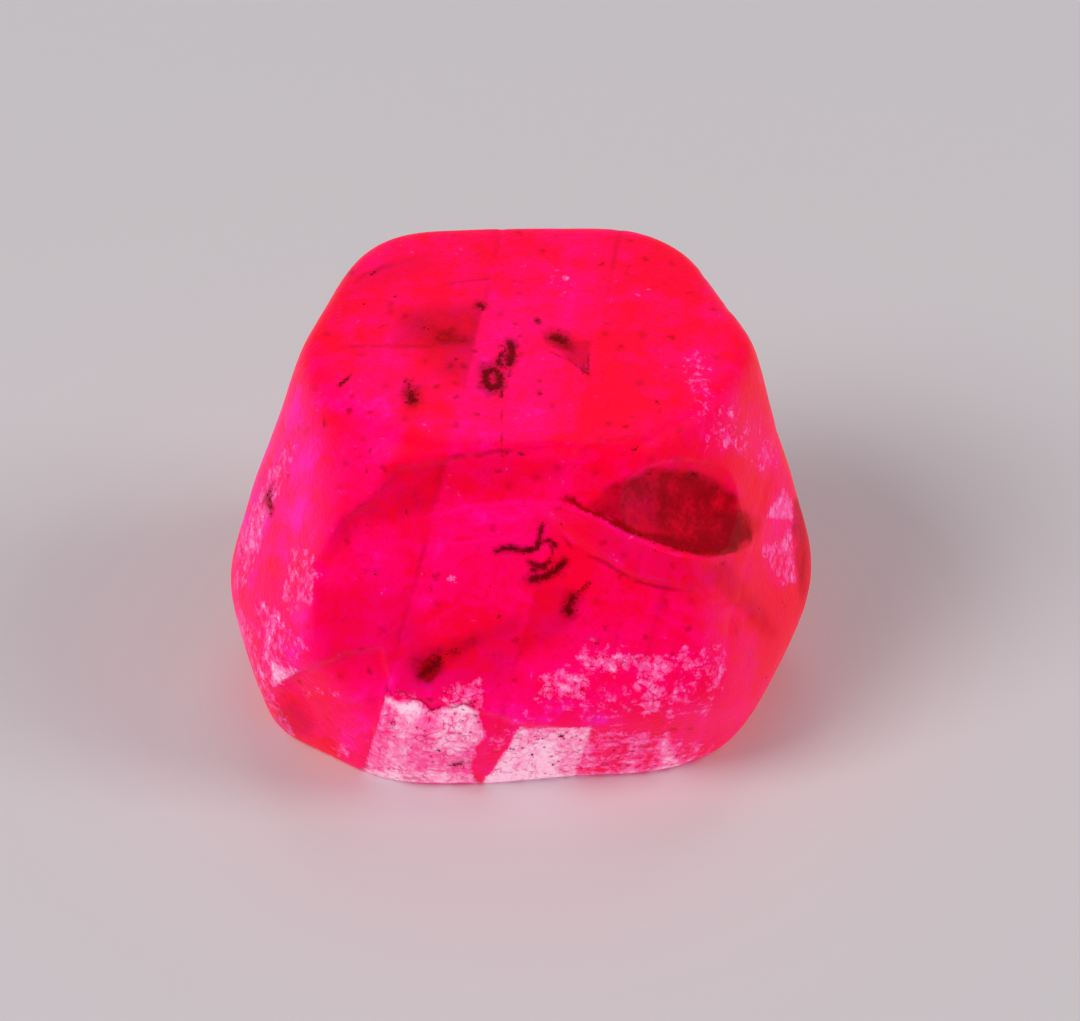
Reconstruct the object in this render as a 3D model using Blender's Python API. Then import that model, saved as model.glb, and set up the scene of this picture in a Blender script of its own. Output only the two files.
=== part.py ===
"""A raw ruby crystal: a squat six-sided barrel of red corundum, worn round at its edges, on a flat base.

Corundum grows with a flat top and base, a belt of faces that narrows upwards and a second belt that
narrows downwards, and the two belts meet at a girdle a little under half height. Here every face is a
plane at its own distance from the crystal's heart. A point of the surface is found by looking from the
heart along a direction: the nearest plane stops the look, edges between planes are rounded by wear, and
growth ledges, a scooped hollow, chips and the flat base then shorten it a little.

Sizes are in millimetres while the shape is worked out, and the mesh is written in metres. +Z is up, the
front of the crystal faces -Y, and the origin is the middle of the base.
"""

import math

import bmesh
import bpy
from mathutils import Matrix, Vector, noise

MM = 0.001

# ---- driving dimensions, in millimetres and degrees --------------------------------------------------

HEIGHT = 14.8
HEART = Vector((0.0, 0.0, 6.6))   # every face's distance is counted from here
EDGE_WEAR = 26                    # higher leaves sharper edges between the faces
BASE_OVERLAP = 0.25               # how far the base plane is pushed out before the flat cut
GRID = 28                         # squares along each side of the six patches of the mesh

# The belts of faces: the compass direction each one looks in, its rise above level, its distance.
TOP = ("top", 0, 90, HEIGHT - HEART.z)
BASE = ("base", 0, -90, HEART.z + BASE_OVERLAP)
UPPER_BELT = (
    ("front_up", -92, 16, 8.3),
    ("front_right_corner", -48, 24, 10.1),
    ("front_right_up", -21, 12, 9.6),
    ("back_right_up", 22, 13, 9.85),
    ("back_right_corner", 57, 13, 10.5),
    ("back_up", 91, 10, 9.1),
    ("back_left_corner", 125, 11, 10.4),
    ("back_left_up", 161, 15, 9.8),
    ("front_left_up", 199, 17, 10.0),
    ("front_left_corner", 228, 38, 10.8),
)
LOWER_BELT = (
    ("front_low", -85, -22, 9.55),
    ("front_right_corner_low", -56, -26, 11.15),
    ("front_right_low", -18, -25, 11.2),
    ("back_right_low", 30, -28, 10.3),
    ("back_low", 88, -26, 9.6),
    ("back_left_low", 148, -27, 10.4),
    ("front_left_low", 191, -16, 11.6),
    ("front_left_corner_low", 236, -19, 10.95),
)
FACES = (TOP, BASE) + UPPER_BELT + LOWER_BELT

# Ledges on the front are laid out on a drawing sheet held in front of the crystal, which leans back by
# SHEET_LEAN. Its two coordinates are millimetres to the right and millimetres up from the origin.
SHEET_LEAN = 38
# name: the ledge's edge, left to right, then the depth below the edge and how soon that depth fades
LEDGES = {
    "arch": (((-7.6, 0.4), (-7.5, 3.5), (-6.7, 5.1), (-5.7, 5.8), (-4.6, 7.0), (-2.8, 7.4), (-0.5, 7.7),
              (2.0, 7.8)), 0.34, 4.5),
    "ripple": (((0.9, 5.6), (1.6, 4.7), (2.8, 3.8), (4.4, 3.0), (6.1, 2.6), (7.7, 2.0), (9.2, 1.3)),
               0.26, 1.6),
    "corner": (((-9.6, -1.4), (-8.4, -0.6), (-6.7, 0.15), (-5.35, 0.35), (-5.3, -0.9), (-5.8, -4.2)),
               0.30, 2.6),
    "fault": (((-5.2, -1.3), (-3.4, -1.7), (-1.6, -2.2), (0.5, -2.6), (3.0, -2.7)), 0.16, 1.2),
}
LEDGE_TAPER = 0.12                # share of a ledge's run over which each of its ends dies away
LEDGE_SLOPE = 0.8                 # how wide the slope at a ledge's worn edge is

# The hollow scooped out of the front right edge is an ellipsoid, and its sharp lower lip stands proud.
HOLLOW_AIM = (-42, 26.5)          # compass direction and rise of its middle, from the heart
HOLLOW_SIZE = (5.4, 2.1, 2.2)     # half its length, height and thickness
HOLLOW_DEPTH = 0.85
HOLLOW_TIP = 16                   # its floor looks this many degrees higher than its aim
HOLLOW_DIP = 27                   # its length runs down to the right by this many degrees
LIP = ((0.4, 6.1), (2.7, 5.2), (4.7, 4.4), (6.4, 3.9), (8.2, 4.2), (9.0, 5.2))
LIP_RISE = 0.14
LIP_WIDTH = 0.7

# Chips knocked off the edges: compass direction, rise, ball radius and how deep the ball bites.
CHIPS = {
    "back_hollow": (80, 20, 5.6, 0.95),
    "back_left_face": (122, 25, 4.2, 0.55),
    "back_girdle": (140, -8, 4.2, 0.60),
    "back_right_edge": (40, 6, 4.6, 0.50),
    "back_low": (72, -30, 4.0, 0.50),
    "right_low": (8, -33, 3.4, 0.40),
}

# Growth terraces: shallow treads around the belts, strongest at the back.
TREAD_PITCH = 2.6
TREAD_DEPTH = 0.22
TREAD_SLOPE = 0.3                 # share of the pitch over which a tread steps back out
TREAD_WANDER = 1.1                # how far a tread's line strays up and down along its run

LUMP_SIZE = 3.2                   # spacing and height of the slight unevenness of all faces
LUMP_HEIGHT = 0.07

RUBY_RED = (0.80, 0.0, 0.09, 1.0)


# ---- finding the surface ------------------------------------------------------------------------------

def unit(direction, rise):
    """The unit vector at a compass direction (from +X towards +Y) and a rise above level."""
    turn, lift = math.radians(direction), math.radians(rise)
    return Vector((math.cos(turn) * math.cos(lift), math.sin(turn) * math.cos(lift), math.sin(lift)))


PLANES = [(unit(direction, rise), distance) for _, direction, rise, distance in FACES]


def worn_reach(aim):
    """How far the plain crystal's surface is from the heart: the nearest plane, rounded near edges."""
    closeness = sum((max(normal.dot(aim), 0.0) / distance) ** EDGE_WEAR for normal, distance in PLANES)
    return closeness ** (-1 / EDGE_WEAR)


def on_sheet(spot):
    """A spot's place on the front drawing sheet: how far right and how far up."""
    lean = math.radians(SHEET_LEAN)
    return Vector((spot.x, spot.z * math.cos(lean) + spot.y * math.sin(lean)))


def faces_sheet(aim):
    """Whether a look from the heart comes out on the side of the crystal that the sheet covers."""
    lean = math.radians(SHEET_LEAN)
    return aim.dot(Vector((0, -math.cos(lean), math.sin(lean)))) > 0


def ramp(value, width):
    """A smooth climb from 0 to 1 as the value crosses zero, over the given width."""
    share = min(max(value / width + 0.5, 0.0), 1.0)
    return share * share * (3 - 2 * share)


def beside(line, spot):
    """The spot's distance from a line, plus on its right-hand side, and the share of the line run there."""
    best = None
    for index, (start, end) in enumerate(zip(line, line[1:])):
        start, end = Vector(start), Vector(end)
        run = end - start
        share = min(max((spot - start).dot(run) / run.length_squared, 0.0), 1.0)
        offset = spot - (start + run * share)
        side = 1 if run.y * offset.x - run.x * offset.y > 0 else -1
        if best is None or offset.length < abs(best[0]):
            best = (side * offset.length, (index + share) / (len(line) - 1))
    return best


def ledge_drop(spot):
    """How far the front's ledges sink the surface at a spot on the sheet."""
    drop = 0.0
    for line, depth, fade in LEDGES.values():
        distance, share = beside(line, spot)
        taper = min(1.0, share / LEDGE_TAPER, (1 - share) / LEDGE_TAPER)
        drop += depth * taper * ramp(distance, LEDGE_SLOPE) * math.exp(-((distance / fade) ** 2))
    return drop


def lip_rise(spot):
    """How far the hollow's lip stands above the face at a spot on the sheet."""
    distance, share = beside(LIP, spot)
    taper = min(1.0, share / LEDGE_TAPER, (1 - share) / LEDGE_TAPER)
    return LIP_RISE * taper * math.exp(-((distance / LIP_WIDTH) ** 2))


def tread_drop(spot, aim):
    """How far the growth treads around the belts sink the surface; none of them is on the top."""
    climb = (spot.z + TREAD_WANDER * noise.noise(spot / 6)) / TREAD_PITCH % 1.0
    tread = min(climb / (1 - TREAD_SLOPE), (1 - climb) / TREAD_SLOPE)
    towards_back = min(max((spot.y - 0.5) / 4.5, 0.04), 1.0)
    on_belt = min(max((0.85 - abs(aim.z)) / 0.4, 0.0), 1.0)
    return TREAD_DEPTH * tread * towards_back * on_belt


def scoop_axes(outward, dip):
    """A scoop's three axes: along its length, which dips to the right, up its height, and outwards."""
    level = Vector((0, 0, 1)).cross(outward).normalized()
    along = Matrix.Rotation(math.radians(-dip), 3, outward) @ level
    return along, outward.cross(along), outward


def make_scoop(direction, rise, size, depth, dip=0, tip=0):
    """An ellipsoid that bites into the surface: its centre, and the matrix that makes it a unit ball."""
    aim, outward = unit(direction, rise), unit(direction, rise + tip)
    centre = aim * (worn_reach(aim) - depth) + outward * size[2]
    return centre, Matrix([axis / half for axis, half in zip(scoop_axes(outward, dip), size)])


SCOOPS = [make_scoop(*HOLLOW_AIM, HOLLOW_SIZE, HOLLOW_DEPTH, HOLLOW_DIP, HOLLOW_TIP)]
SCOOPS += [make_scoop(direction, rise, (radius,) * 3, bite) for direction, rise, radius, bite in CHIPS.values()]


def scooped_reach(reach, aim):
    """The reach along an aim after the scoops: it ends where the look from the heart enters one."""
    for centre, to_ball in SCOOPS:
        start, step = to_ball @ -centre, to_ball @ aim
        across = start.dot(step)
        inside = across ** 2 - step.length_squared * (start.length_squared - 1)
        if across < 0 < inside:
            reach = min(reach, (-across - math.sqrt(inside)) / step.length_squared)
    return reach


def surface(aim):
    """The point of the crystal's surface seen from its heart along an aim."""
    reach = worn_reach(aim)
    spot = HEART + aim * reach
    reach += LUMP_HEIGHT * noise.noise(spot / LUMP_SIZE)
    reach -= tread_drop(spot, aim)
    if faces_sheet(aim):
        reach += lip_rise(on_sheet(spot)) - ledge_drop(on_sheet(spot))
    reach = scooped_reach(reach, aim)
    if aim.z < 0:
        reach = min(reach, HEART.z / -aim.z)      # the flat base
    return HEART + aim * reach


# ---- building the object --------------------------------------------------------------------------------

def clear_scene():
    """Remove every object, so that the crystal is alone."""
    for thing in list(bpy.data.objects):
        bpy.data.objects.remove(thing, do_unlink=True)


def ruby_material():
    """Clear red corundum, taken as a satin, see-through solid."""
    material = bpy.data.materials.new("ruby")
    material.use_nodes = True
    shader = material.node_tree.nodes["Principled BSDF"]
    shader.inputs["Base Color"].default_value = RUBY_RED
    shader.inputs["Metallic"].default_value = 0.0
    shader.inputs["Roughness"].default_value = 0.25
    shader.inputs["IOR"].default_value = 1.77
    shader.inputs["Transmission Weight"].default_value = 0.5
    return material


def direction_of(grid_point):
    """The aim through a point of the cube's grid, spread so that all squares come out alike in size."""
    return Vector([math.tan(value * math.pi / 4) for value in grid_point]).normalized()


def make_crystal():
    """A cube with a fine grid, every corner of which is moved out to the crystal's surface."""
    grid = bmesh.new()
    bmesh.ops.create_cube(grid, size=2)
    bmesh.ops.subdivide_edges(grid, edges=grid.edges, cuts=GRID - 1, use_grid_fill=True)
    for corner in grid.verts:
        corner.co = surface(direction_of(corner.co)) * MM
    for face in grid.faces:
        face.smooth = True
    mesh = bpy.data.meshes.new("ruby_crystal")
    grid.to_mesh(mesh)
    grid.free()
    mesh.materials.append(ruby_material())
    crystal = bpy.data.objects.new("ruby_crystal", mesh)
    bpy.context.collection.objects.link(crystal)
    return crystal


clear_scene()
make_crystal()
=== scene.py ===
# %% [markdown]
# # A raw ruby crystal
# The object is one piece of rough ruby, about 22 mm across: a squat hexagonal barrel with a flat
# top and a flat base, worn round at its edges. Light passes right through it, so it glows hot
# pink, and what gives it its character is small: growth ledges on the front, a scooped hollow at
# the upper right, frosted patches where the surface is bruised, and dark specks. This script
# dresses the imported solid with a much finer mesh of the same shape, gives it a material, and sets
# up a plain studio.

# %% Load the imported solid
import math

import bmesh
import bpy
import numpy as np
from mathutils import Matrix, Vector, noise


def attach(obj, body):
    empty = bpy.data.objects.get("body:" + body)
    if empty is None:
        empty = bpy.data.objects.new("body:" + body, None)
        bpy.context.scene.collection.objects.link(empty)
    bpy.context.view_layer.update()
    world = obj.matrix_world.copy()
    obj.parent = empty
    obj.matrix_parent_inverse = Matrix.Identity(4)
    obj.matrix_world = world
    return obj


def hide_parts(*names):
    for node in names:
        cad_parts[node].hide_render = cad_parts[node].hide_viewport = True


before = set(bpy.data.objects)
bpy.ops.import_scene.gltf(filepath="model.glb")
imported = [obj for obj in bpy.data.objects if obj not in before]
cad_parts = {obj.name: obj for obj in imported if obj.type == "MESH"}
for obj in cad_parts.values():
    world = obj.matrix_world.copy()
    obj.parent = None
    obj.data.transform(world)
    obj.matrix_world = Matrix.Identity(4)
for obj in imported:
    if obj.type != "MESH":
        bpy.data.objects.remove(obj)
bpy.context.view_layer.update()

MM = 0.001

# %% [markdown]
# ## The camera
# A small bright object is best shown from well above, through a long lens, which keeps its sides
# from spreading. A drawing sheet that faces the camera is a handy ruler: its two coordinates are
# millimetres to the right and up from the middle of the base. The camera looks square onto it.

# %% Camera
SHEET_LEAN = math.radians(38)  # how far the sheet leans back from upright
VIEW_WIDTH = 41.06  # millimetres of the sheet that the view takes in
VIEW_MIDDLE = (0.61, 5.49)  # where on the sheet the camera aims
CAMERA_DISTANCE = 400
SHEET_UP = Vector((0, math.sin(SHEET_LEAN), math.cos(SHEET_LEAN)))
SHEET_OUT = Vector((0, -math.cos(SHEET_LEAN), math.sin(SHEET_LEAN)))

scene = bpy.context.scene
lens = bpy.data.cameras.new("camera")
lens.sensor_width = 36
lens.lens = lens.sensor_width * CAMERA_DISTANCE / VIEW_WIDTH
lens.clip_start = 0.01
camera = bpy.data.objects.new("camera", lens)
aim = Vector((VIEW_MIDDLE[0], 0, 0)) + SHEET_UP * VIEW_MIDDLE[1]
camera.location = (aim + SHEET_OUT * CAMERA_DISTANCE) * MM
camera.rotation_euler = (math.pi / 2 - SHEET_LEAN, 0, 0)
scene.collection.objects.link(camera)
scene.camera = camera
scene.view_settings.view_transform = "Standard"
print("lens:", round(lens.lens), "mm, camera", CAMERA_DISTANCE, "mm away")

# %% [markdown]
# ## Floor, sky and lamps
# The studio is a wide pale floor, a dim sky that fills the shadows, and three large square lamps.
# Large lamps give soft shadows and broad, faint highlights.

# %% Floor and sky
FLOOR_SIZE = 4000
FLOOR_GAP = 0.02  # keeps the floor just clear of the flat base
FLOOR_COLOUR = (0.68, 0.64, 0.65)
FLOOR_ROUGHNESS = 0.6
SKY_COLOUR = (0.9, 0.92, 1.0)
SKY_STRENGTH = 0.26

bpy.ops.mesh.primitive_plane_add(size=FLOOR_SIZE * MM, location=(0, 0, -FLOOR_GAP * MM))
floor = bpy.context.object
floor.name = "floor"
pale_floor = bpy.data.materials.new("pale_floor")
pale_floor.use_nodes = True
floor_shader = pale_floor.node_tree.nodes["Principled BSDF"]
floor_shader.inputs["Base Color"].default_value = (*FLOOR_COLOUR, 1)
floor_shader.inputs["Roughness"].default_value = FLOOR_ROUGHNESS
floor.data.materials.append(pale_floor)
world = bpy.data.worlds.new("studio")
world.use_nodes = True
sky = world.node_tree.nodes["Background"]
sky.inputs["Color"].default_value = (*SKY_COLOUR, 1)
sky.inputs["Strength"].default_value = SKY_STRENGTH
scene.world = world
print("floor:", FLOOR_SIZE, "mm wide, sky strength", SKY_STRENGTH)

# %% Soft lamps
LAMPS = {  # where it hangs and the side of its square, in millimetres, its power in watts
    "lamp_left": ((-420, -260, 520), 320, 2.6),
    "lamp_right": ((460, -60, 420), 260, 1.1),
    "lamp_back": ((60, 420, 760), 360, 0.6),
}

for name, (hang, side, power) in LAMPS.items():
    data = bpy.data.lights.new(name, "AREA")
    data.size = side * MM
    data.energy = power
    lamp = bpy.data.objects.new(name, data)
    lamp.location = Vector(hang) * MM
    lamp.rotation_euler = (-Vector(hang)).to_track_quat("-Z", "Y").to_euler()
    scene.collection.objects.link(lamp)
print(len(LAMPS), "lamps, each turned to face the crystal")

# %% [markdown]
# ## The crystal's plain form
# Corundum grows as planes, each at its own distance from the crystal's heart. Looking from the
# heart along a direction, the nearest plane is where the stone ends. Taking the nearest plane
# exactly gives knife-sharp edges. A high power mean of the planes gives the same faces with the
# edges worn round, as on a pebble that has travelled down a river. The values repeat the solid's
# own.

# %% The faces
HEIGHT = 14.8
HEART = np.array((0.0, 0.0, 6.6))  # every face's distance is counted from here
EDGE_WEAR = 26  # higher leaves sharper edges between the faces
BASE_OVERLAP = 0.25  # how far the base plane is pushed out before the flat cut
# name, the compass direction it looks in, its rise above level, its distance
FACES = (
    ("top", 0, 90, HEIGHT - HEART[2]),
    ("base", 0, -90, HEART[2] + BASE_OVERLAP),
    ("front_up", -92, 16, 8.3),
    ("front_right_corner", -48, 24, 10.1),
    ("front_right_up", -21, 12, 9.6),
    ("back_right_up", 22, 13, 9.85),
    ("back_right_corner", 57, 13, 10.5),
    ("back_up", 91, 10, 9.1),
    ("back_left_corner", 125, 11, 10.4),
    ("back_left_up", 161, 15, 9.8),
    ("front_left_up", 199, 17, 10.0),
    ("front_left_corner", 228, 38, 10.8),
    ("front_low", -85, -22, 9.55),
    ("front_right_corner_low", -56, -26, 11.15),
    ("front_right_low", -18, -25, 11.2),
    ("back_right_low", 30, -28, 10.3),
    ("back_low", 88, -26, 9.6),
    ("back_left_low", 148, -27, 10.4),
    ("front_left_low", 191, -16, 11.6),
    ("front_left_corner_low", 236, -19, 10.95),
)
print(len(FACES), "faces")

# %% Where the worn faces end
def unit(direction, rise):
    """The unit vector at a compass direction (from +X towards +Y) and a rise above level."""
    turn, lift = math.radians(direction), math.radians(rise)
    level = math.cos(lift)
    return np.array((math.cos(turn) * level, math.sin(turn) * level, math.sin(lift)))


NORMALS = np.array([unit(direction, rise) for _, direction, rise, _ in FACES])
DISTANCES = np.array([distance for *_, distance in FACES])


def worn_reach(aims):
    """How far the plain crystal's surface is from the heart along each aim."""
    closeness = np.maximum(aims @ NORMALS.T, 0) / DISTANCES
    return (closeness ** EDGE_WEAR).sum(axis=1) ** (-1 / EDGE_WEAR)


print("reach straight to the front:", worn_reach(unit(-90, 0)[None]).round(2), "mm")

# %% [markdown]
# ## A fine, even grid
# A cube whose sides are cut into small squares makes a good skin for a squat crystal: each side
# covers about one sixth of it, and there are no crowded poles as on a globe. Passing the grid's
# lines through a tangent keeps the squares alike in size once they are pushed out.

# %% The grid of aims
GRID = 128  # squares along each side of the six patches


def cube_grid(squares):
    """A mesh cube from -1 to 1 with that many squares along each side."""
    grid = bmesh.new()
    bmesh.ops.create_cube(grid, size=2)
    bmesh.ops.subdivide_edges(grid, edges=grid.edges, cuts=squares - 1, use_grid_fill=True)
    for face in grid.faces:
        face.smooth = True
    mesh = bpy.data.meshes.new("ruby_crystal_skin")
    grid.to_mesh(mesh)
    grid.free()
    return mesh


skin = cube_grid(GRID)
flat = np.empty(len(skin.vertices) * 3)
skin.vertices.foreach_get("co", flat)
aims = np.tan(flat.reshape(-1, 3) * math.pi / 4)
aims /= np.linalg.norm(aims, axis=1)[:, None]
reach = worn_reach(aims)
plain = HEART + aims * reach[:, None]
steps = np.ptp(plain[[edge.vertices[:] for edge in skin.edges]], axis=1)
print(len(aims), "corners, about", np.linalg.norm(steps, axis=1).mean().round(3), "mm apart")

# %% [markdown]
# ## Tools for drawing on the stone
# Ledges, patches and cracks are drawn as lines and outlines on the sheet, in millimetres. Three
# small helpers do the work: a smooth ramp, the distance to a line with its sign saying which side,
# and whether a spot lies inside an outline. Blender's noise adds what no ruler draws.

# %% Ramp and distance to a line
def ramp(values, width):
    """A smooth climb from 0 to 1 as the values cross zero, over the given width."""
    share = np.clip(values / width + 0.5, 0, 1)
    return share * share * (3 - 2 * share)


def beside(line, spots):
    """Each spot's distance from a line, plus on its right, and the share of the line run there."""
    distance = np.full(len(spots), np.inf)
    share = np.zeros(len(spots))
    for index, (start, end) in enumerate(zip(line, line[1:])):
        start, run = np.array(start), np.subtract(end, start)
        along = np.clip((spots - start) @ run / (run @ run), 0, 1)
        offset = spots - start - along[:, None] * run
        length = np.linalg.norm(offset, axis=1)
        on_right = run[1] * offset[:, 0] > run[0] * offset[:, 1]
        closer = length < np.abs(distance)
        distance = np.where(closer, np.where(on_right, length, -length), distance)
        share = np.where(closer, (index + along) / (len(line) - 1), share)
    return distance, share


print("2 mm right of a line:", beside(((0, 0), (0, 9)), np.array([[2.0, 4.0]]))[0], "mm")

# %% Outline and noise
def inside(outline, spots, soft):
    """1 within a closed outline and 0 outside, changing over a soft edge."""
    ring = (*outline, outline[0])
    crossings = np.zeros(len(spots), dtype=bool)
    for (x0, y0), (x1, y1) in zip(ring, ring[1:]):
        spans = (y0 > spots[:, 1]) != (y1 > spots[:, 1])
        rise = (y1 - y0) or 1e-9  # a level side is never crossed, so any number will do
        crossings ^= spans & (spots[:, 0] < x0 + (spots[:, 1] - y0) / rise * (x1 - x0))
    distance = np.abs(beside(ring, spots)[0])
    return ramp(np.where(crossings, distance, -distance), soft)


def lumps(spots, size, shift=0.0):
    """Smooth noise between about -1 and 1 whose lumps are that many millimetres apart."""
    return np.array([noise.noise(Vector(spot) / size + Vector((shift, 0, 0))) for spot in spots])


lean_up, lean_out = np.array(SHEET_UP), np.array(SHEET_OUT)
sheet = np.column_stack([plain[:, 0], plain @ lean_up])
towards_sheet = aims @ lean_out
faces_sheet = ramp(towards_sheet, 0.15)
print(int((faces_sheet > 0.5).sum()), "corners face the sheet")

# %% [markdown]
# ## Ledges and the lip
# Where a layer of growth stopped short, the stone steps down. Each ledge is a line on the sheet
# with a depth, which is deepest just beside the line on its right-hand side and fades away from
# it. The slope at the edge is narrow, so that the ledge catches the light as a crisp line.

# %% Ledges
# the line, its depth, and how far from the line the depth fades
LEDGES = {
    "arch": (((-7.6, 0.4), (-7.5, 3.5), (-6.7, 5.1), (-5.7, 5.8), (-4.6, 7.0), (-2.8, 7.4),
        (-0.5, 7.7), (2.0, 7.8)), 0.34, 4.5),
    "ripple": (((0.9, 5.6), (1.6, 4.7), (2.8, 3.8), (4.4, 3.0), (6.1, 2.6), (7.7, 2.0),
        (9.2, 1.3)), 0.26, 1.6),
    "corner": (((-9.6, -1.4), (-8.4, -0.6), (-6.7, 0.15), (-5.35, 0.35), (-5.1, -0.9),
        (-5.8, -4.2)), 0.30, 2.6),
    "fault": (((-5.2, -1.3), (-3.4, -1.7), (-1.6, -2.2), (0.5, -2.6), (3.0, -2.7)), 0.16, 1.2),
}
LEDGE_TAPER = 0.12  # share of a ledge's run over which each end dies away
LEDGE_SLOPE = 0.35
LEDGE_WANDER = 0.22  # how far a ledge's edge strays from its ruled line
LEDGE_WANDER_SIZE = 1.3  # how long each of its wiggles is
LIP = ((0.4, 6.1), (2.7, 5.2), (4.7, 4.4), (6.4, 3.9), (8.2, 4.2), (9.0, 5.2))
LIP_RISE = 0.14
LIP_WIDTH = 0.45


def taper(share):
    """1 along a line, falling to 0 at both of its ends."""
    return np.clip(np.minimum(share, 1 - share) / LEDGE_TAPER, 0, 1)


stray = LEDGE_WANDER * lumps(plain, LEDGE_WANDER_SIZE)
ledge_drop = np.zeros(len(plain))
for line, depth, fade in LEDGES.values():
    distance, share = beside(line, sheet)
    distance += stray
    sunk = depth * taper(share) * ramp(distance, LEDGE_SLOPE)
    ledge_drop += sunk * np.exp(-((distance / fade) ** 2))
distance, share = beside(LIP, sheet)
lip_rise = LIP_RISE * taper(share) * np.exp(-((distance / LIP_WIDTH) ** 2))
print("deepest ledge", round(ledge_drop.max(), 2), "mm")

# %% [markdown]
# ## Growth treads
# The belts of a corundum crystal are never quite smooth: the crystal kept switching between two
# faces as it grew, which leaves shallow treads that run level around it, like the threads of a
# worn screw. The front is worn almost clear of them.

# %% Treads
TREAD_PITCH = 2.6
TREAD_DEPTH = 0.22
TREAD_SLOPE = 0.3  # share of the pitch over which a tread steps back out
TREAD_WANDER = 1.1  # how far a tread strays up and down
TREAD_WANDER_SIZE = 6
FRONT_SHARE = 0.04  # share of their depth that is left on the worn front
BACK_STARTS, BACK_RUN = 0.5, 4.5  # from here they deepen, over this much way to the back
BELT_TOP, BELT_FADE = 0.85, 0.4  # the rise, as a sine, where they end, and how softly

climb = plain[:, 2] + TREAD_WANDER * lumps(plain, TREAD_WANDER_SIZE)
climb = climb / TREAD_PITCH % 1.0
tread = np.minimum(climb / (1 - TREAD_SLOPE), (1 - climb) / TREAD_SLOPE)
towards_back = np.clip((plain[:, 1] - BACK_STARTS) / BACK_RUN, FRONT_SHARE, 1)
on_belt = np.clip((BELT_TOP - np.abs(aims[:, 2])) / BELT_FADE, 0, 1)
tread_drop = TREAD_DEPTH * tread * towards_back * on_belt
print("treads every", TREAD_PITCH, "mm")

# %% [markdown]
# ## Parting planes
# Ruby is often twinned in thin plates, and it likes to break along them. All of these planes are
# parallel. Where one meets the surface it leaves a hair-fine groove, and the plates between them
# stand at very slightly different heights.

# %% Parting planes
PARTING_NORMAL = np.array((0.968, -0.128, -0.217))
PARTINGS = {"left": -4.97, "middle": -0.6, "short_right": 2.8, "far_right": 4.0, "edge": 6.9}
PARTING_WANDER, PARTING_WANDER_SIZE = 0.08, 2.5
GROOVE_DEPTH, GROOVE_WIDTH = 0.025, 0.14
PLATE_STEP, PLATE_STEP_WIDTH = 0.015, 0.2


def groove_drop(spots):
    """How far the parting planes' grooves and plates sink the surface."""
    across = spots @ PARTING_NORMAL + PARTING_WANDER * lumps(spots, PARTING_WANDER_SIZE, 7)
    drop = np.zeros(len(spots))
    for index, place in enumerate(PARTINGS.values()):
        drop += GROOVE_DEPTH * np.exp(-(((across - place) / GROOVE_WIDTH) ** 2))
        drop += PLATE_STEP * (-1) ** index * ramp(across - place, PLATE_STEP_WIDTH)
    return drop


print(len(PARTINGS), "parting planes")

# %% [markdown]
# ## The hollow and the chips
# A blow breaks corundum like glass, in smooth shells. A scoop is an ellipsoid that overlaps the
# surface: looking from the heart, the stone ends where the look enters it. The big one at the
# upper right has its floor tipped upwards, which leaves a sharp lower lip. The others are round
# and shallow.

# %% Where the breaks are
HOLLOW_AIM = (-42, 26.5)  # compass direction and rise of its middle, from the heart
HOLLOW_SIZE = (5.4, 2.1, 2.2)  # half its length, height and thickness
HOLLOW_DEPTH = 0.85
HOLLOW_TIP = 16  # its floor looks this many degrees higher than its aim
HOLLOW_DIP = 27  # its length runs down to the right by this many degrees
CHIPS = {  # compass direction, rise, radius, depth
    "back_hollow": (80, 20, 5.6, 0.95),
    "back_left_face": (122, 25, 4.2, 0.55),
    "back_girdle": (140, -8, 4.2, 0.60),
    "back_right_edge": (40, 6, 4.6, 0.50),
    "back_low": (72, -30, 4.0, 0.50),
    "right_low": (8, -33, 3.4, 0.40),
}
print("one hollow and", len(CHIPS), "chips")

# %% Scoops
def make_scoop(direction, rise, size, depth, dip=0, tip=0):
    """An ellipsoid that bites into the surface: its centre, and what makes it a unit ball."""
    outward = unit(direction, rise + tip)
    level = Vector((0, 0, 1)).cross(Vector(outward)).normalized()
    along = Matrix.Rotation(math.radians(-dip), 3, Vector(outward)) @ level
    axes = (along, np.cross(outward, along), outward)
    aim = unit(direction, rise)
    centre = aim * (worn_reach(aim[None])[0] - depth) + outward * size[2]
    return centre, np.array([np.array(axis) / half for axis, half in zip(axes, size)])


def scooped_reach(reach, scoop):
    """The reach after a scoop: it ends where the look from the heart enters the ellipsoid."""
    centre, to_ball = scoop
    start, step = to_ball @ -centre, aims @ to_ball.T
    across = step @ start
    steepness = (step ** 2).sum(axis=1)
    hit = across ** 2 - steepness * (start @ start - 1)
    entry = (-across - np.sqrt(np.maximum(hit, 0))) / steepness
    return np.where((hit > 0) & (across < 0), np.minimum(reach, entry), reach)


scoops = [make_scoop(*HOLLOW_AIM, HOLLOW_SIZE, HOLLOW_DEPTH, HOLLOW_DIP, HOLLOW_TIP)]
for direction, rise, radius, bite in CHIPS.values():
    scoops.append(make_scoop(direction, rise, (radius,) * 3, bite))
print(len(scoops), "scoops, the hollow's centre at", scoops[0][0].round(1))

# %% [markdown]
# ## The finished form
# Everything so far changes one number for each corner of the grid, its reach from the heart. So
# the form is put together by adding and taking away: growth first, then the breaks, then the base.

# %% Put the form together
LUMP_SIZE = 3.2
LUMP_HEIGHT = 0.07

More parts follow.
